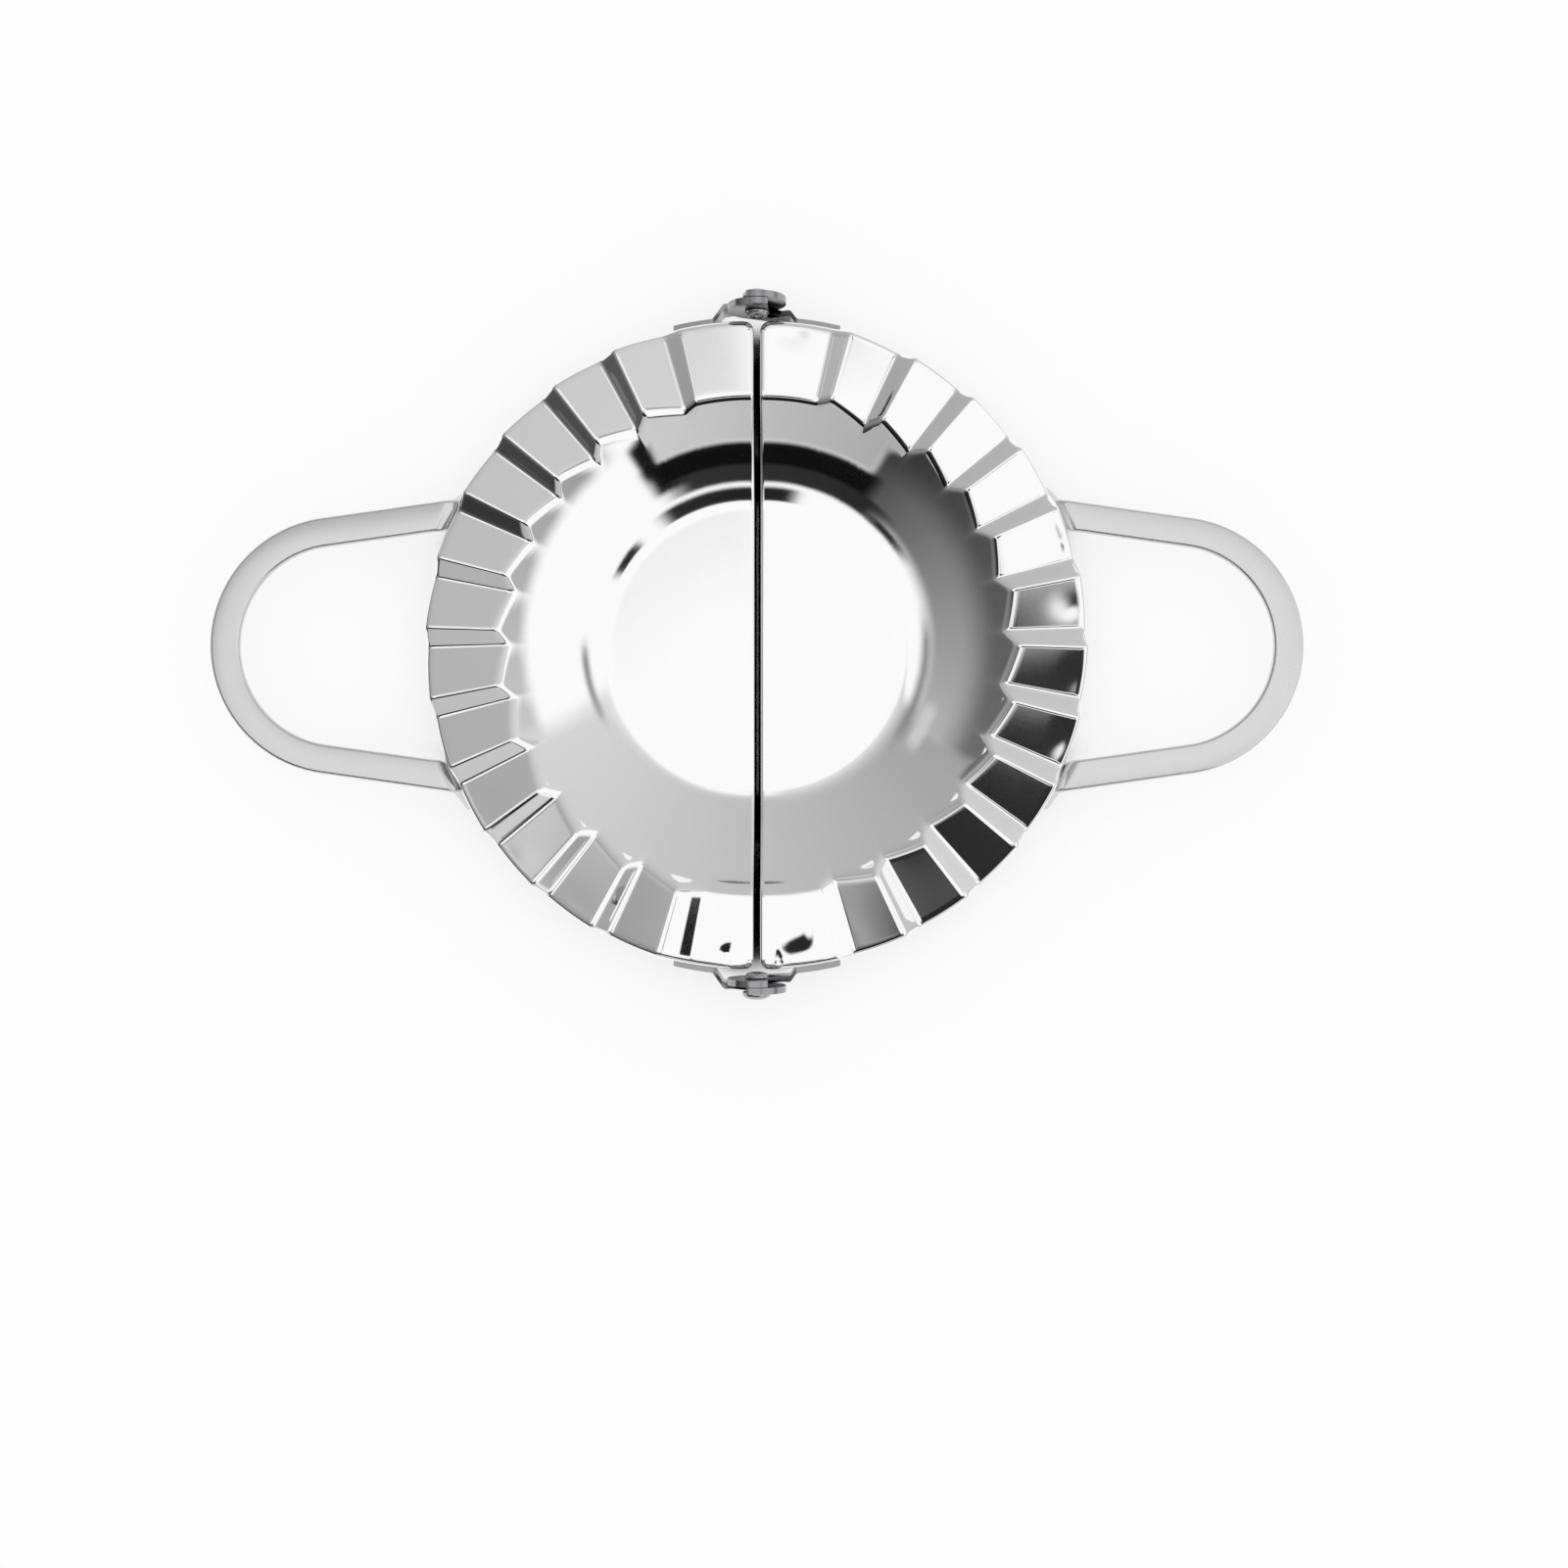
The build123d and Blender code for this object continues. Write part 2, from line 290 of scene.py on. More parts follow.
def crimp_breaks(end_rise):
    """Angle from the far hinge and height of each radial fold on the right half.

    The first end facet bends up towards its fold by end_rise.
    """
    half = CRIMP_HEIGHT / 2
    last = CRIMP_COUNT - 1
    breaks = [(-90, 0), (0, 0)]
    if end_rise:
        breaks.append((90 - CRIMP_PITCH * last / 2 - STRIP_ANGLE / 2 - END_BEND, 0))
    for index in range(CRIMP_COUNT):
        centre = 90 + CRIMP_PITCH * (index - last / 2)
        breaks.append((centre - STRIP_ANGLE / 2, end_rise if index == 0 else -half))
        breaks.append((centre + STRIP_ANGLE / 2, 0 if index == last else half))
    return breaks + [(180, 0), (270, 0)]


RIGHT_BREAKS = crimp_breaks(0)
LEFT_BREAKS = crimp_breaks(END_RISE)


def plane_height(breaks, index, angle):
    """Height of the flat between two folds, which is a plane through the arc centre."""
    (first, low), (second, high) = breaks[index], breaks[index + 1]
    span = sin(radians(second - first))
    return (low * sin(radians(second - angle)) + high * sin(radians(angle - first))) / span


def crimp_height(breaks, angle):
    """Height of the rim at an angle, with each fold rounded by a short parabola."""
    index = max(i for i in range(len(breaks) - 1) if breaks[i][0] <= angle)
    for near in (index, index + 1):
        offset = angle - breaks[near][0]
        if 0 < near < len(breaks) - 1 and abs(offset) < FOLD_ROUND:
            before = plane_height(breaks, near - 1, angle)
            step = 0.01
            rise = plane_height(breaks, near, breaks[near][0] + step) - breaks[near][1]
            rise -= plane_height(breaks, near - 1, breaks[near][0] + step) - breaks[near][1]
            return before + rise / step * (offset + FOLD_ROUND) ** 2 / (4 * FOLD_ROUND)
    return plane_height(breaks, index, angle)


def rim_angles(breaks):
    """Angles of the mesh columns: close around every fold, evenly spaced between."""
    marks = [CORNER_ANGLE, 180 - CORNER_ANGLE]
    for angle, _ in breaks[2:-2]:
        marks += [angle + FOLD_ROUND * f for f in (-1.7, -1, -0.5, 0, 0.5, 1, 1.7)]
    marks.sort()
    angles = []
    for first, second in zip(marks, marks[1:]):
        count = max(1, round((second - first) / COLUMN_PITCH))
        angles += [first + (second - first) * i / count for i in range(count)]
    return angles + marks[-1:]


class Grid:
    """Collects points and quads of a mesh."""

    def __init__(self):
        self.points = []
        self.faces = []

    def add_rows(self, rows):
        """Quads between rows of points of equal length. Returns the indices of the points."""
        indices = []
        for row in rows:
            start = len(self.points)
            self.points += row
            indices.append(list(range(start, start + len(row))))
        for first, second in zip(indices, indices[1:]):
            self.bridge(first, second)
        return indices

    def bridge(self, first, second):
        """Quads between two rows of indices."""
        for i in range(len(first) - 1):
            self.faces.append((first[i], first[i + 1], second[i + 1], second[i]))


STRIP_COLUMNS = 4           # from the rim's last column to the split
LIP_STEPS = 5               # round the edge along the split
DROP_STEPS = 3              # below it, down the flange
FLANGE_FOOT = 43            # radius beyond which the flange grows into the skirt
FLANGE_RUN = 2
FLAT_RADIUS = 40            # radius beyond which the flange follows the flat rim
SHIFT_START = 8.0           # radius below which the columns run to the arc centre
SHIFT_RUN = 20.0


def on_fold(angle, radius, shift):
    """Plan of the point where the fold at an angle crosses a circle about the arc centre."""
    turn = radians(angle)
    start = shift * smooth((radius - SHIFT_START) / SHIFT_RUN)
    along = sqrt(radius ** 2 - (start * sin(turn)) ** 2) - start * cos(turn)
    return ARC_OFFSET + along * sin(turn), start + along * cos(turn)


def dent_at(dents, angle, radius):
    """Depth of all dents together at a place on the rim, fading out towards the split."""
    total = 0
    for centre, reach, length, width, depth in dents:
        across = radians(angle - centre) * radius / width
        total += depth * exp(-across ** 2 - ((radius - reach) / length) ** 2)
    return total * smooth((min(angle, 180 - angle) - CORNER_ANGLE) / 2)


def pan_side(grid, depth, shift, breaks, dents):
    """One side of the right half's sheet. Returns its free edge as a ring of indices."""
    angles = rim_angles(breaks)
    columns = []
    for angle in angles:
        path = section(crimp_height(breaks, angle), depth, shift * cos(radians(angle)))
        columns.append([
            (*on_fold(angle, r, shift), z - dent_at(dents, angle, r)) for r, z in path
        ])
    polar = grid.add_rows(columns)

    edge_x = HALF_GAP + depth
    edge_round = max(SPLIT_ROUND - depth, LEAST_ROUND)
    lip_depth = depth + edge_round
    corner = CORNER_RADIUS - depth
    flat = section(0, depth)
    corner_x = edge_x + corner
    corner_y = sqrt((RIM_RADIUS - depth - corner) ** 2 - (corner_x - ARC_OFFSET) ** 2)
    start_turn = atan2(corner_x - ARC_OFFSET, corner_y)
    skirt_edges = {}
    split_edges = {}
    for side in (1, -1):
        first_column = columns[0] if side == 1 else columns[-1]
        strip = []
        for k in range(STRIP_COLUMNS + 1):
            part = k / STRIP_COLUMNS
            turn = start_turn * (1 - part) - radians(90) * part
            column = []
            for row in range(OUTER_ROW + 1):
                r, z = flat[row]
                reach = corner - (RIM_RADIUS - depth - r)
                column.append((
                    corner_x + reach * sin(turn),
                    side * (corner_y + reach * cos(turn)),
                    z,
                ))
            for row in range(OUTER_ROW + 1, len(flat)):
                x, y, z = first_column[row]
                x += (edge_x + edge_round - x) * part
                y += (side * flat[row][0] - y) * part
                column.append((x, y, z))
            strip.append(column)
        strip[0] = first_column
        strip_index = grid.add_rows(strip)
        skirt_edges[side] = [column[0] for column in strip_index]

        lip = []
        rows = range(OUTER_ROW, len(flat))
        for step in range(LIP_STEPS + DROP_STEPS + 1):
            column = []
            for row in rows:
                r, z = flat[row]
                if row == OUTER_ROW:
                    full = RIM_Z - SKIRT_Z
                else:
                    growth = smooth((r - FLANGE_FOOT) / FLANGE_RUN)
                    full = FLANGE_DEPTH + (RIM_Z - SKIRT_Z - FLANGE_DEPTH) * growth
                if step <= LIP_STEPS:
                    angle = radians(90) * step / LIP_STEPS
                    x = edge_x + edge_round * (1 - sin(angle))
                    level = depth + edge_round * (1 - cos(angle))
                else:
                    x = edge_x
                    level = lip_depth + (full - lip_depth) * (step - LIP_STEPS) / DROP_STEPS
                if row == OUTER_ROW:
                    y, z = corner_y, RIM_Z - level
                elif r > FLAT_RADIUS:
                    y, z = r, RIM_Z - level
                else:
                    y, z = section(0, level)[row]
                column.append((x, side * y, max(z, 0)))
            lip.append(column)
        lip_index = grid.add_rows(lip)
        split_edges[side] = lip_index[-1]

    skirt = [column[0] for column in polar]
    ring = skirt + skirt_edges[-1] + split_edges[-1]
    ring += split_edges[1][::-1] + skirt_edges[1][::-1]
    return ring + ring[:1]


def smooth(value):
    """Smooth step from 0 to 1."""
    value = min(max(value, 0), 1)
    return value * value * (3 - 2 * value)


def pan_mesh(shift, breaks, dents):
    """Points and faces of the right half pan, whose folds meet at a shift along Y."""
    grid = Grid()
    upper = pan_side(grid, 0, shift, breaks, dents)
    lower = pan_side(grid, SHEET, shift, breaks, dents)
    grid.bridge(upper, lower)
    return grid


def half_turn(points):
    return [(-x, -y, z) for x, y, z in points]


def make_pans():
    grid = pan_mesh(FOLD_SHIFT, RIGHT_BREAKS, RIGHT_DENTS)
    right = add_mesh(
        "right_pan_sheet", grid.points, grid.faces,
        "right_half", ["right_pan"],
    )
    grid = pan_mesh(-FOLD_SHIFT, LEFT_BREAKS, LEFT_DENTS)
    left = add_mesh(
        "left_pan_sheet", half_turn(grid.points), grid.faces,
        "left_half", ["left_pan"],
    )
    return right, left


def rounded_section(width, thickness, radius, steps):
    """Closed outline of a strip's section, as pairs of across and up."""
    points = []
    for sx, sz, start in ((1, 1, 0), (-1, 1, 90), (-1, -1, 180), (1, -1, 270)):
        for step in range(steps + 1):
            angle = radians(start + 90 * step / steps)
            points.append((
                sx * (width / 2 - radius) + radius * cos(angle),
                sz * (thickness / 2 - radius) + radius * sin(angle),
            ))
    return points


def arm_meeting_angle():
    """Angle from +X, in degrees, at which the middle of the upper arm meets the skirt."""
    spread = radians(ARM_SPREAD)
    middle = LOOP_RADIUS - HANDLE_WIDTH / 2
    lever = (LOOP_REACH - LOOP_RADIUS - ARC_OFFSET) * sin(spread) + middle
    return degrees(asin(lever / RIM_RADIUS)) - ARM_SPREAD


def handle_mesh():
    """Points and faces of the right handle: a strip rolled down at both ends."""
    spread = radians(ARM_SPREAD)
    turn = radians(arm_meeting_angle())
    skew = turn + spread
    outward = (cos(turn), sin(turn))
    neutral = BEND_RADIUS - HANDLE_THICKNESS / 2
    bend_start = RIM_RADIUS + BEND_RADIUS
    bend_length = neutral * pi / 2
    foot_length = bend_length + HANDLE_Z - BEND_RADIUS - FOOT_Z
    centre_x = LOOP_REACH - LOOP_RADIUS
    radius = LOOP_RADIUS - HANDLE_WIDTH / 2
    arm = (-cos(spread), sin(spread))
    touch = (centre_x + radius * sin(spread), radius * cos(spread))
    middle_z = HANDLE_Z - HANDLE_THICKNESS / 2

    def inward(point):
        """How far a point of the flat strip lies past the start of the bend."""
        x, y = point[0] - ARC_OFFSET, point[1]
        return bend_start - (x * outward[0] + y * outward[1])

    def place(point, up):
        """Point of the flat strip in space, rolled where it is past the start of the bend."""
        past = inward(point)
        if past <= 0:
            return point[0], point[1], middle_z + up
        angle = min(past / neutral, pi / 2)
        level = HANDLE_Z - BEND_RADIUS + (neutral + up) * cos(angle)
        level -= max(past - bend_length, 0)
        shift = past - (neutral + up) * sin(angle)
        return point[0] + outward[0] * shift, point[1] + outward[1] * shift, level

    # Centre line of the upper half, from the foot to the tip, each point with its direction
    # and how far the section is sheared to lie along the bend.
    to_bend = -inward(touch) / cos(skew)
    stations = []
    for part in FOOT_STEPS:
        stations.append((to_bend + foot_length * part / cos(skew), 1))
    for step in range(BEND_STEPS, -1, -1):
        stations.append((to_bend + bend_length * step / BEND_STEPS / cos(skew), 1))
    for step in range(1, SHEAR_STEPS + 1):
        part = step / SHEAR_STEPS
        stations.append((to_bend - SHEAR_RUN * part, 1 - smooth(part)))
    stations += [((to_bend - SHEAR_RUN) * part, 0) for part in ARM_STEPS]
    outline = rounded_section(HANDLE_WIDTH, HANDLE_THICKNESS, HANDLE_EDGE, EDGE_STEPS)
    normal = (-arm[1], arm[0])
    upper = []
    for distance, shear in stations:
        x, y = touch[0] + arm[0] * distance, touch[1] + arm[1] * distance
        lean = tan(skew) * shear
        across = (normal[0] - arm[0] * lean, normal[1] - arm[1] * lean)
        upper.append([place((x + across[0] * u, y + across[1] * u), up) for u, up in outline])
    for step in range(LOOP_STEPS + 1):
        angle = (pi / 2 - spread) * (1 - step / LOOP_STEPS)
        upper.append([
            (centre_x + cos(angle) * (radius - u), sin(angle) * (radius - u), middle_z + up)
            for u, up in outline
        ])
    lower = [[(x, -y, z) for x, y, z in row] for row in upper[-2::-1]]
    grid = Grid()
    indices = grid.add_rows([row + row[:1] for row in upper + lower])
    for row in (indices[0], indices[-1]):
        grid.faces.append(tuple(row[:-1]))
    return grid


def make_handles():
    grid = handle_mesh()
    right = add_mesh(
        "right_handle_strip", grid.points, grid.faces,
        "right_half", ["right_handle"],
    )
    left = add_mesh(
        "left_handle_strip", half_turn(grid.points), grid.faces,
        "left_half", ["left_handle"],
    )
    return right, left


def skirt_y(x, radius):
    return sqrt(radius ** 2 - (x - ARC_OFFSET) ** 2)


def rounded_path(corners, radius, steps):
    """Open path through corners, rounded at each inner one."""
    path = [corners[0]]
    for before, corner, after in zip(corners, corners[1:], corners[2:]):
        incoming = unit(corner[0] - before[0], corner[1] - before[1])
        outgoing = unit(after[0] - corner[0], after[1] - corner[1])
        path += round_corner(corner, incoming, outgoing, radius, steps)
    return path + [corners[-1]]


def strap_side(ear_y, jog_run, depth):
    """Plan line of one side of a bracket, from the ear's end to the strap's end."""
    jog_end = JOG_START + jog_run
    run = STRAP_REACH + OVERRUN - jog_end
    corners = [(-EAR_RADIUS - OVERRUN, ear_y + depth), (JOG_START, ear_y + depth)]
    for step in range(9):
        x = jog_end + run * step / 8
        corners.append((x, skirt_y(x, RIM_RADIUS + depth)))
    head = rounded_path(corners[:4], JOG_FILLET, 4)
    return head[:-1] + corners[3:]


def height_at(path, x):
    """Second coordinate of a path at the first one."""
    for (x0, y0), (x1, y1) in zip(path, path[1:]):
        if x0 <= x <= x1 and x1 > x0:
            return y0 + (y1 - y0) * (x - x0) / (x1 - x0)
    return path[-1][1]


def hull_edges(jog_run):
    """Upper and lower edge of a bracket's side view, as functions of x."""
    jog_end = JOG_START + jog_run
    strap_top = RIM_Z - STRAP_DROP

    def tangent(x, z):
        """Point where a line through x, z touches the ear's circle, on the side of z."""
        distance = hypot(x, z - HINGE_Z)
        base = atan2(z - HINGE_Z, x)
        swing = acos(EAR_RADIUS / distance)
        side = 1 if z > HINGE_Z - EAR_RADIUS / 2 else -1
        angle = base + side * swing
        return EAR_RADIUS * cos(angle), HINGE_Z + EAR_RADIUS * sin(angle)

    top = tangent(jog_end, strap_top)
    low = tangent(JOG_START, FOOT_Z)

    def upper(x):
        if x <= top[0]:
            return HINGE_Z + sqrt(max(EAR_RADIUS ** 2 - x * x, 0))
        if x <= jog_end:
            return top[1] + (strap_top - top[1]) * (x - top[0]) / (jog_end - top[0])
        return strap_top

    def lower(x):
        if x <= low[0]:
            return HINGE_Z - sqrt(max(EAR_RADIUS ** 2 - x * x, 0))
        if x <= JOG_START:
            return low[1] + (FOOT_Z - low[1]) * (x - low[0]) / (JOG_START - low[0])
        return FOOT_Z

    return upper, lower


def bracket_mesh(ear_y, jog_run, hole):
    """Points and faces of a far bracket of the right half."""
    upper, lower = hull_edges(jog_run)
    jog_end = JOG_START + jog_run
    rows = 20
    seam = EAR_SEAM

    def upright(x):
        """Points up the bracket's side view at x."""
        return [(x, lower(x) + (upper(x) - lower(x)) * i / rows) for i in range(rows + 1)]

    # Columns of the strap, close together in the jog
    jog_first = JOG_START - 0.6
    jog_last = jog_end + 0.8
    columns = [seam + (jog_first - seam) * i / 3 for i in range(4)]
    columns += [jog_first + (jog_last - jog_first) * i / 16 for i in range(1, 17)]
    columns += [jog_last + (STRAP_REACH - jog_last) * i / 8 for i in range(1, 9)]

    # Outline of the ear, round from the seam's lower end, and the ring mesh inside it
    seam_line = upright(seam)
    arc_x = []
    count = 56
    for i in range(1, count + 1):
        part = 0.5 - 0.5 * cos(pi * i / count)
        arc_x.append(seam * (1 - part) - EAR_RADIUS * part)
    arc = [(x, upper(x)) for x in arc_x[:-1]] + [(x, lower(x)) for x in arc_x[::-1]]
    rim = seam_line + arc
    rings = []
    for part in (0, 0.25, 0.5, 0.75, 1):
        ring = []
        for x, z in rim:
            direction = unit(x, z - HINGE_Z)
            inner = (hole * direction[0], HINGE_Z + hole * direction[1])
            ring.append((inner[0] + (x - inner[0]) * part, inner[1] + (z - inner[1]) * part))
        rings.append(ring + ring[:1])
    strap = [upright(x) for x in columns]

    grid = Grid()
    edges = []
    for depth in (0, STRAP_THICKNESS):
        side = strap_side(ear_y, jog_run, depth)
        place = [[(x, height_at(side, x), z) for x, z in row] for row in rings]
        ring_index = grid.add_rows(place)
        place = [[(x, height_at(side, x), z) for x, z in row] for row in strap]
        strap_index = grid.add_rows(place)
        border = ring_index[-1][rows:]
        low_edge = [column[0] for column in strap_index]
        high_edge = [column[-1] for column in strap_index]
        outline = border + low_edge[1:] + strap_index[-1][1:-1] + high_edge[:0:-1] + border[:1]
        edges.append((ring_index[0], outline))
    grid.bridge(edges[0][0], edges[1][0])
    grid.bridge(edges[0][1], edges[1][1])
    return grid


def bevel(piece, width):
    """Small rounds on a piece's sharp edges."""
    modifier = piece.modifiers.new("edges", "BEVEL")
    modifier.width = width * MM
    modifier.segments = 2
    modifier.limit_method = "ANGLE"
    modifier.angle_limit = radians(BEVEL_ANGLE)
    modifier.harden_normals = True
    modifier.use_clamp_overlap = True


def flip(points, x=1, y=1):
    return [(px * x, py * y, pz) for px, py, pz in points]


def make_brackets():
    pieces = []
    inner = bracket_mesh(INNER_EAR_Y, INNER_JOG_RUN, SHANK_RADIUS + CLEARANCE)
    outer = bracket_mesh(OUTER_EAR_Y, OUTER_JOG_RUN, SHANK_RADIUS)
    for half, grid, x in (("right", inner, 1), ("left", outer, -1)):
        for end, y in (("far", 1), ("near", -1)):
            piece = add_mesh(
                f"{half}_{end}_ear", flip(grid.points, x, y), grid.faces,
                f"{half}_half", [f"{half}_{end}_bracket"],
            )
            bevel(piece, BEVEL_WIDTH)
            pieces.append(piece)
    return pieces


def rivet_profile():
    """Radius and distance along the pin, from the clinched end's middle to the head's."""
    grip_start = INNER_EAR_Y - CLEARANCE
    grip_end = OUTER_EAR_Y + STRAP_THICKNESS
    head_end = grip_end + HEAD_HEIGHT
    clinch = grip_start - CLINCH_HEIGHT
    dimple = clinch + CLINCH_DIMPLE_DEPTH
    profile = [(0, dimple), (0.25, dimple - 0.01), (0.45, dimple - 0.08), (0.6, clinch + 0.2)]
    profile += [(0.72, clinch + 0.07), (0.9, clinch + 0.01), (1.05, clinch), (1.2, clinch + 0.03)]
    profile += [(1.4, clinch + 0.12), (1.56, clinch + 0.27), (1.66, clinch + 0.45)]
    profile += [(CLINCH_RADIUS, clinch + 0.6), (1.66, grip_start - 0.03), (1.6, grip_start)]
    profile += [(SHANK_RADIUS + 0.02, grip_start), (SHANK_RADIUS, grip_start + 0.02)]
    profile += [(SHANK_RADIUS, grip_end - 0.02), (SHANK_RADIUS + 0.02, grip_end)]
    profile += [(HEAD_RADIUS - 0.1, grip_end), (HEAD_RADIUS, grip_end + 0.1)]
    edge = grip_end + HEAD_EDGE
    profile.append((HEAD_RADIUS, edge))
    for step in range(1, DOME_STEPS):
        angle = radians(90) * step / DOME_STEPS
        profile.append((HEAD_RADIUS * cos(angle) ** 0.8, edge + (head_end - edge) * sin(angle)))
    return profile + [(0, head_end)]


def make_rivets():
    pieces = []
    for end, y in (("far", 1), ("near", -1)):
        rows = []
        for step in range(RIVET_TURNS + 1):
            angle = 2 * pi * step / RIVET_TURNS
            rows.append([
                (r * cos(angle), y * along, HINGE_Z + r * sin(angle))
                for r, along in rivet_profile()
            ])
        grid = Grid()
        grid.add_rows(rows)
        pieces.append(add_mesh(
            f"{end}_pin", grid.points, grid.faces,
            "left_half", [f"{end}_rivet"],
        ))
    return pieces


def make_camera():
    data = bpy.data.cameras.new("camera")
    data.sensor_width = SENSOR
    data.lens = SENSOR * CAMERA_HEIGHT / FRAME_WIDTH
    data.clip_start = 0.01
    data.clip_end = 10
    camera = bpy.data.objects.new("camera", data)
    camera.location = (CAMERA_X * MM, CAMERA_Y * MM, (RIM_Z + CAMERA_HEIGHT) * MM)
    bpy.context.scene.collection.objects.link(camera)
    bpy.context.scene.camera = camera


class Nodes:
    """Adds linked shader nodes to one tree."""

    def __init__(self, tree):
        self.tree = tree
        tree.nodes.clear()

    def put(self, socket, value):
        if isinstance(value, bpy.types.NodeSocket):
            self.tree.links.new(value, socket)
        else:
            socket.default_value = value

    def node(self, kind, inputs=None, **settings):
        node = self.tree.nodes.new(kind)
        for name, value in settings.items():
            setattr(node, name, value)
        for name, value in (inputs or {}).items():
            self.put(node.inputs[name], value)
        return node

    def math(self, operation, *values, clamp=False):
        node = self.node("ShaderNodeMath", operation=operation, use_clamp=clamp)
        for socket, value in zip(node.inputs, values):
            self.put(socket, value)
        return node.outputs[0]

    def ramp(self, value, start, end, low=0.0, high=1.0, kind="SMOOTHSTEP"):
        """Smooth change from low to high as the value goes from start to end."""
        return self.node("ShaderNodeMapRange", {
            "Value": value,
            "From Min": start,
            "From Max": end,
            "To Min": low,
            "To Max": high,
        }, interpolation_type=kind).outputs[0]

    def noise(self, place, size, detail):
        """Noise with a grain of the given size in millimetres."""
        return self.node("ShaderNodeTexNoise", {
            "Vector": place,
            "Scale": 1 / (size * MM),
            "Detail": detail,
        }).outputs[0]


# Studio seen in the steel. A card runs between two angles round from +X and two heights above
# the horizon, in degrees. It has soft edges, fades from its first brightness to its last, and
# covers what lies behind it as far as its opacity goes.
STUDIO_BASE = 1.0
CARDS = [
    # name, start, end, edge, bottom, top, edge, first and last brightness, opacity
    ("far_wall", 27, 150, 4, -90, 68, 8, 0.71, 0.37, 1),
    ("far_ceiling", 96, 150, 3, 62, 80, 5, 0.6, 0.6, 0.7),
    ("window_foot", -50, 28, 5, -90, 17, 6, 0.33, 0.6, 1),
    ("left_wall", 147, 235, 2, -90, 58, 6, 0.46, 0.06, 1),
    ("left_wall_foot", 147, 235, 2, -90, 24, 15, 0.06, 0.02, 0.75),
    ("near_wall", 235, 303, 1.5, -90, 34, 1.5, 0.42, 0.64, 1),
    ("near_dark", 231, 304, 3, 35, 55, 2.5, 0.004, 0.004, 1),
    ("near_dark_side", 207, 226, 6, 57, 61.5, 1.5, 0.025, 0.02, 1),
    ("near_dark_top", 222, 298, 8, 50, 61.5, 1.5, 0.02, 0.03, 1),
    ("near_post", 298, 304, 1.5, 17, 43, 4, 0.006, 0.006, 1),
    ("ceiling_dark", 254, 308, 5, 64.5, 73, 1.5, 0.012, 0.02, 1),
    ("ceiling_slot", 324, 340, 3, 67, 71.5, 1, 0.01, 0.01, 1),
    ("right_patch", 8, 34, 6, 56.5, 60.5, 2, 0.24, 0.4, 1),
    ("left_patch", 140, 180, 8, 57, 62, 3, 0.25, 0.3, 1),
    ("left_light", 141, 155, 3, 44, 53, 3, 0.6, 0.62, 1),
]


def make_world():
    """Soft studio in the steel, and plain white light for everything else."""
    world = bpy.data.worlds.new("studio")
    bpy.context.scene.world = world
    world.use_nodes = True
    nodes = Nodes(world.node_tree)
    direction = nodes.node("ShaderNodeTexCoord").outputs["Generated"]
    axes = nodes.node("ShaderNodeSeparateXYZ", {"Vector": direction}).outputs
    azimuth = nodes.math("MULTIPLY", nodes.math("ARCTAN2", axes["Y"], axes["X"]), 180 / pi)
    elevation = nodes.math("MULTIPLY", nodes.math("ARCSINE", axes["Z"]), 180 / pi)
    level = STUDIO_BASE
    for name, start, end, edge, bottom, top, rise, first, last, opacity in CARDS:
        half = (end - start) / 2
        turn = nodes.math("WRAP", nodes.math("SUBTRACT", azimuth, start + half), 180, -180)
        across = nodes.ramp(nodes.math("ABSOLUTE", turn), half + edge, half - edge)
        above = nodes.math("ABSOLUTE", nodes.math("SUBTRACT", elevation, (top + bottom) / 2))
        height = (top - bottom) / 2
        along = nodes.ramp(above, height + rise, height - rise)
        shade = first if first == last else nodes.ramp(turn, -half, half, first, last, "LINEAR")
        cover = nodes.math("MULTIPLY", nodes.math("MULTIPLY", across, along), opacity)
        mix = nodes.node("ShaderNodeMix", data_type="FLOAT", label=name)
        nodes.put(mix.inputs["Factor"], cover)
        nodes.put(mix.inputs["A"], level)
        nodes.put(mix.inputs["B"], shade)
        level = mix.outputs["Result"]

    path = nodes.node("ShaderNodeLightPath").outputs
    glossy = nodes.math("MAXIMUM", path["Is Glossy Ray"], path["Is Transmission Ray"])
    studio = nodes.node("ShaderNodeBackground", {"Color": level, "Strength": 1.0})
    plain = nodes.node("ShaderNodeBackground", {"Color": (1, 1, 1, 1), "Strength": 1.0})
    shown = nodes.node("ShaderNodeMixShader", {
        0: glossy,
        1: plain.outputs[0],
        2: studio.outputs[0],
    })
    nodes.node("ShaderNodeOutputWorld", {"Surface": shown.outputs[0]})


FLOOR_REACH = 4000.0
FLOOR_DROP = 0.2           # below the press, so that no two faces share a plane
FLOOR_COLOR = 0.96
FLOOR_GLOW = 0.7           # share of the floor that is plain background white


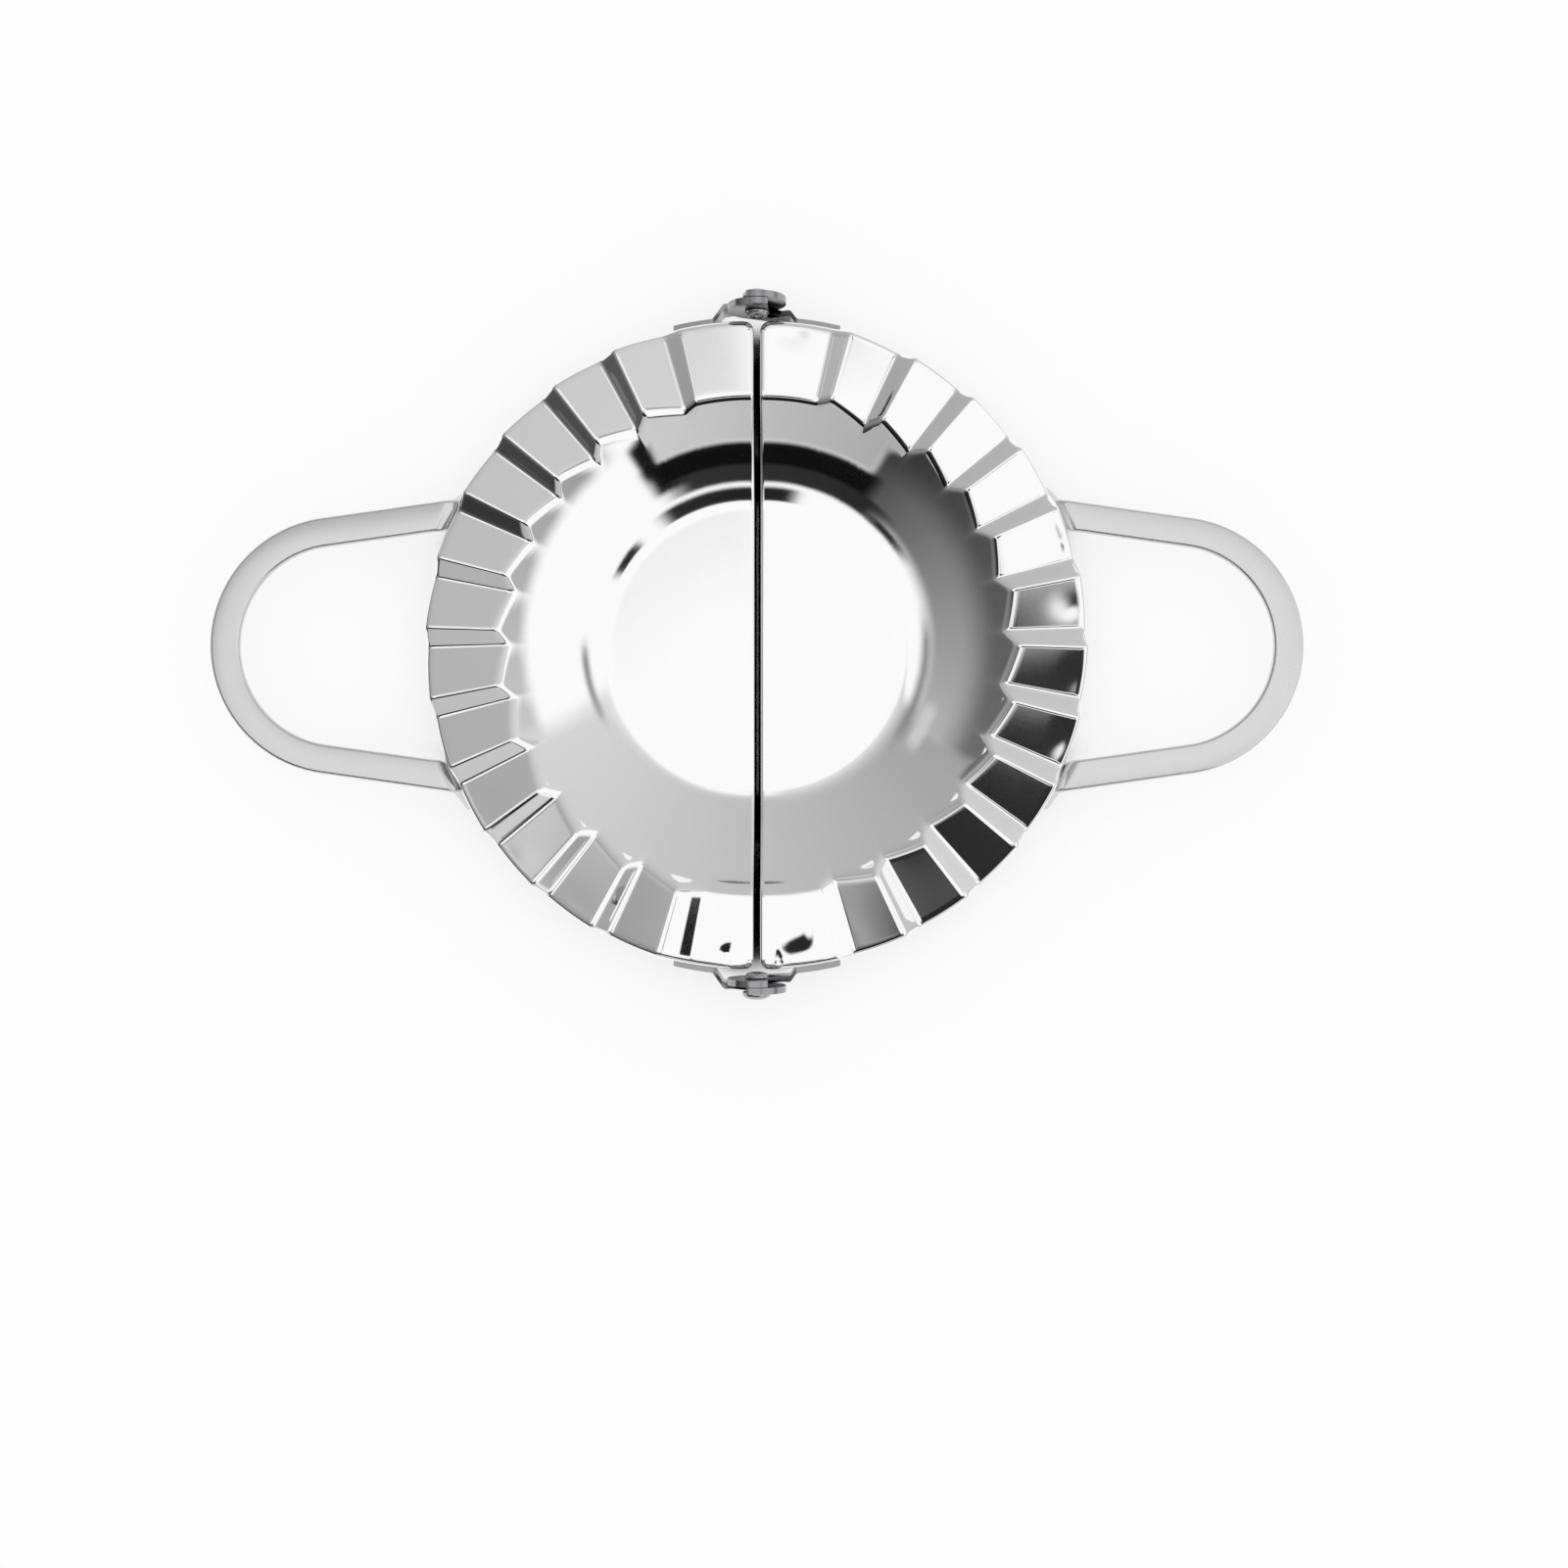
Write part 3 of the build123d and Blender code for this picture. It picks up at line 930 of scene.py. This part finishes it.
def floor_material():
    """Pale table with a faint shadow, and a painted shadow that darkens its colour and its glow
    where the press covers it.
    """
    material = bpy.data.materials.new("pale_floor")
    material.use_nodes = True
    nodes = Nodes(material.node_tree)

    def openness(reach, closed, clear):
        """0 where little within reach is open above the floor, 1 where most of it is."""
        node = nodes.node("ShaderNodeAmbientOcclusion", {"Distance": reach * MM}, samples=16)
        return nodes.ramp(node.outputs["AO"], closed, clear)

    # Painted shadow: this occlusion factor darkens the floor's colour and its glow, down to
    # black, where the press covers the floor.
    painted_shade_factor = nodes.math("MULTIPLY", openness(30, 0.22, 0.45), openness(1, 0.75, 0.95))
    color = nodes.node("ShaderNodeCombineColor", {
        c: nodes.math("MULTIPLY", painted_shade_factor, FLOOR_COLOR) for c in ("Red", "Green", "Blue")
    }).outputs[0]
    path = nodes.node("ShaderNodeLightPath").outputs
    seen = nodes.math("MAXIMUM", path["Is Camera Ray"], path["Is Glossy Ray"])
    seen = nodes.math("MAXIMUM", seen, path["Is Transmission Ray"])
    matt = nodes.node("ShaderNodeBsdfDiffuse", {"Color": color})
    glow = nodes.node("ShaderNodeEmission", {"Color": painted_shade_factor, "Strength": 1.0})
    share = nodes.math("MULTIPLY", seen, FLOOR_GLOW)
    mixed = nodes.node("ShaderNodeMixShader", {0: share, 1: matt.outputs[0], 2: glow.outputs[0]})
    nodes.node("ShaderNodeOutputMaterial", {"Surface": mixed.outputs[0]})
    return material


def make_floor():
    mesh = bpy.data.meshes.new("floor")
    size = FLOOR_REACH * MM
    corners = [(-size, -size, 0), (size, -size, 0), (size, size, 0), (-size, size, 0)]
    mesh.from_pydata(corners, [], [(0, 1, 2, 3)])
    floor = bpy.data.objects.new("floor", mesh)
    floor.location.z = -FLOOR_DROP * MM
    mesh.materials.append(floor_material())
    bpy.context.scene.collection.objects.link(floor)


BROAD_GRAIN = 9             # size of the broad grain, millimetres
FINE_SHARE = 0.6            # of the fine grain in the roughness and the tint
BROAD_SHARE = 0.4
GRAIN_RANGE = (0.3, 0.7)    # of the noise, over which the roughness and the tint change
LEAST_TINT = 0.985          # share of the tint that is left in the darkest grain


def steel(name, tint, roughness, spread, grain, bump):
    """Metal whose roughness, tint and surface vary with a fine grain.

    spread is how far the roughness varies. grain and bump are the size and the depth of
    the fine grain in millimetres.
    """
    material = bpy.data.materials.new(name)
    material.use_nodes = True
    nodes = Nodes(material.node_tree)
    place = nodes.node("ShaderNodeTexCoord").outputs["Object"]
    fine = nodes.noise(place, grain, 3.0)
    broad = nodes.noise(place, BROAD_GRAIN, 2.0)
    fine_part = nodes.math("MULTIPLY", fine, FINE_SHARE)
    broad_part = nodes.math("MULTIPLY", broad, BROAD_SHARE)
    blend = nodes.math("ADD", fine_part, broad_part)
    rough = nodes.ramp(
        blend, *GRAIN_RANGE, roughness - spread, roughness + spread, "LINEAR",
    )
    color = nodes.node("ShaderNodeMix", data_type="RGBA")
    nodes.put(color.inputs["Factor"], nodes.ramp(blend, *GRAIN_RANGE))
    nodes.put(color.inputs["A"], (*[c * LEAST_TINT for c in tint], 1))
    nodes.put(color.inputs["B"], (*tint, 1))
    height = nodes.math("MULTIPLY", fine, bump * MM)
    normal = nodes.node("ShaderNodeBump", {
        "Height": height,
        "Strength": 1.0,
        "Distance": 1.0,
    }).outputs[0]
    shader = nodes.node("ShaderNodeBsdfPrincipled", {
        "Base Color": color.outputs["Result"],
        "Metallic": 1.0,
        "Roughness": rough,
        "Normal": normal,
    })
    nodes.node("ShaderNodeOutputMaterial", {"Surface": shader.outputs[0]})
    return material


make_camera()
make_world()
make_floor()
polished = steel("polished_steel_look", (0.96, 0.96, 0.96), 0.05, 0.015, 0.35, 0.00006)
satin = steel("handle_steel_look", (0.72, 0.72, 0.72), 0.24, 0.05, 0.18, 0.0012)
bright = steel("bracket_steel_look", (0.36, 0.36, 0.37), 0.18, 0.05, 0.3, 0.001)
turned = steel("rivet_steel_look", (0.46, 0.46, 0.47), 0.16, 0.04, 0.25, 0.0008)
for piece in make_pans():
    piece.data.materials.append(polished)
for piece in make_handles():
    piece.data.materials.append(satin)
for piece in make_brackets():
    piece.data.materials.append(bright)
for piece in make_rivets():
    piece.data.materials.append(turned)

bpy.context.scene.view_settings.view_transform = "Standard"
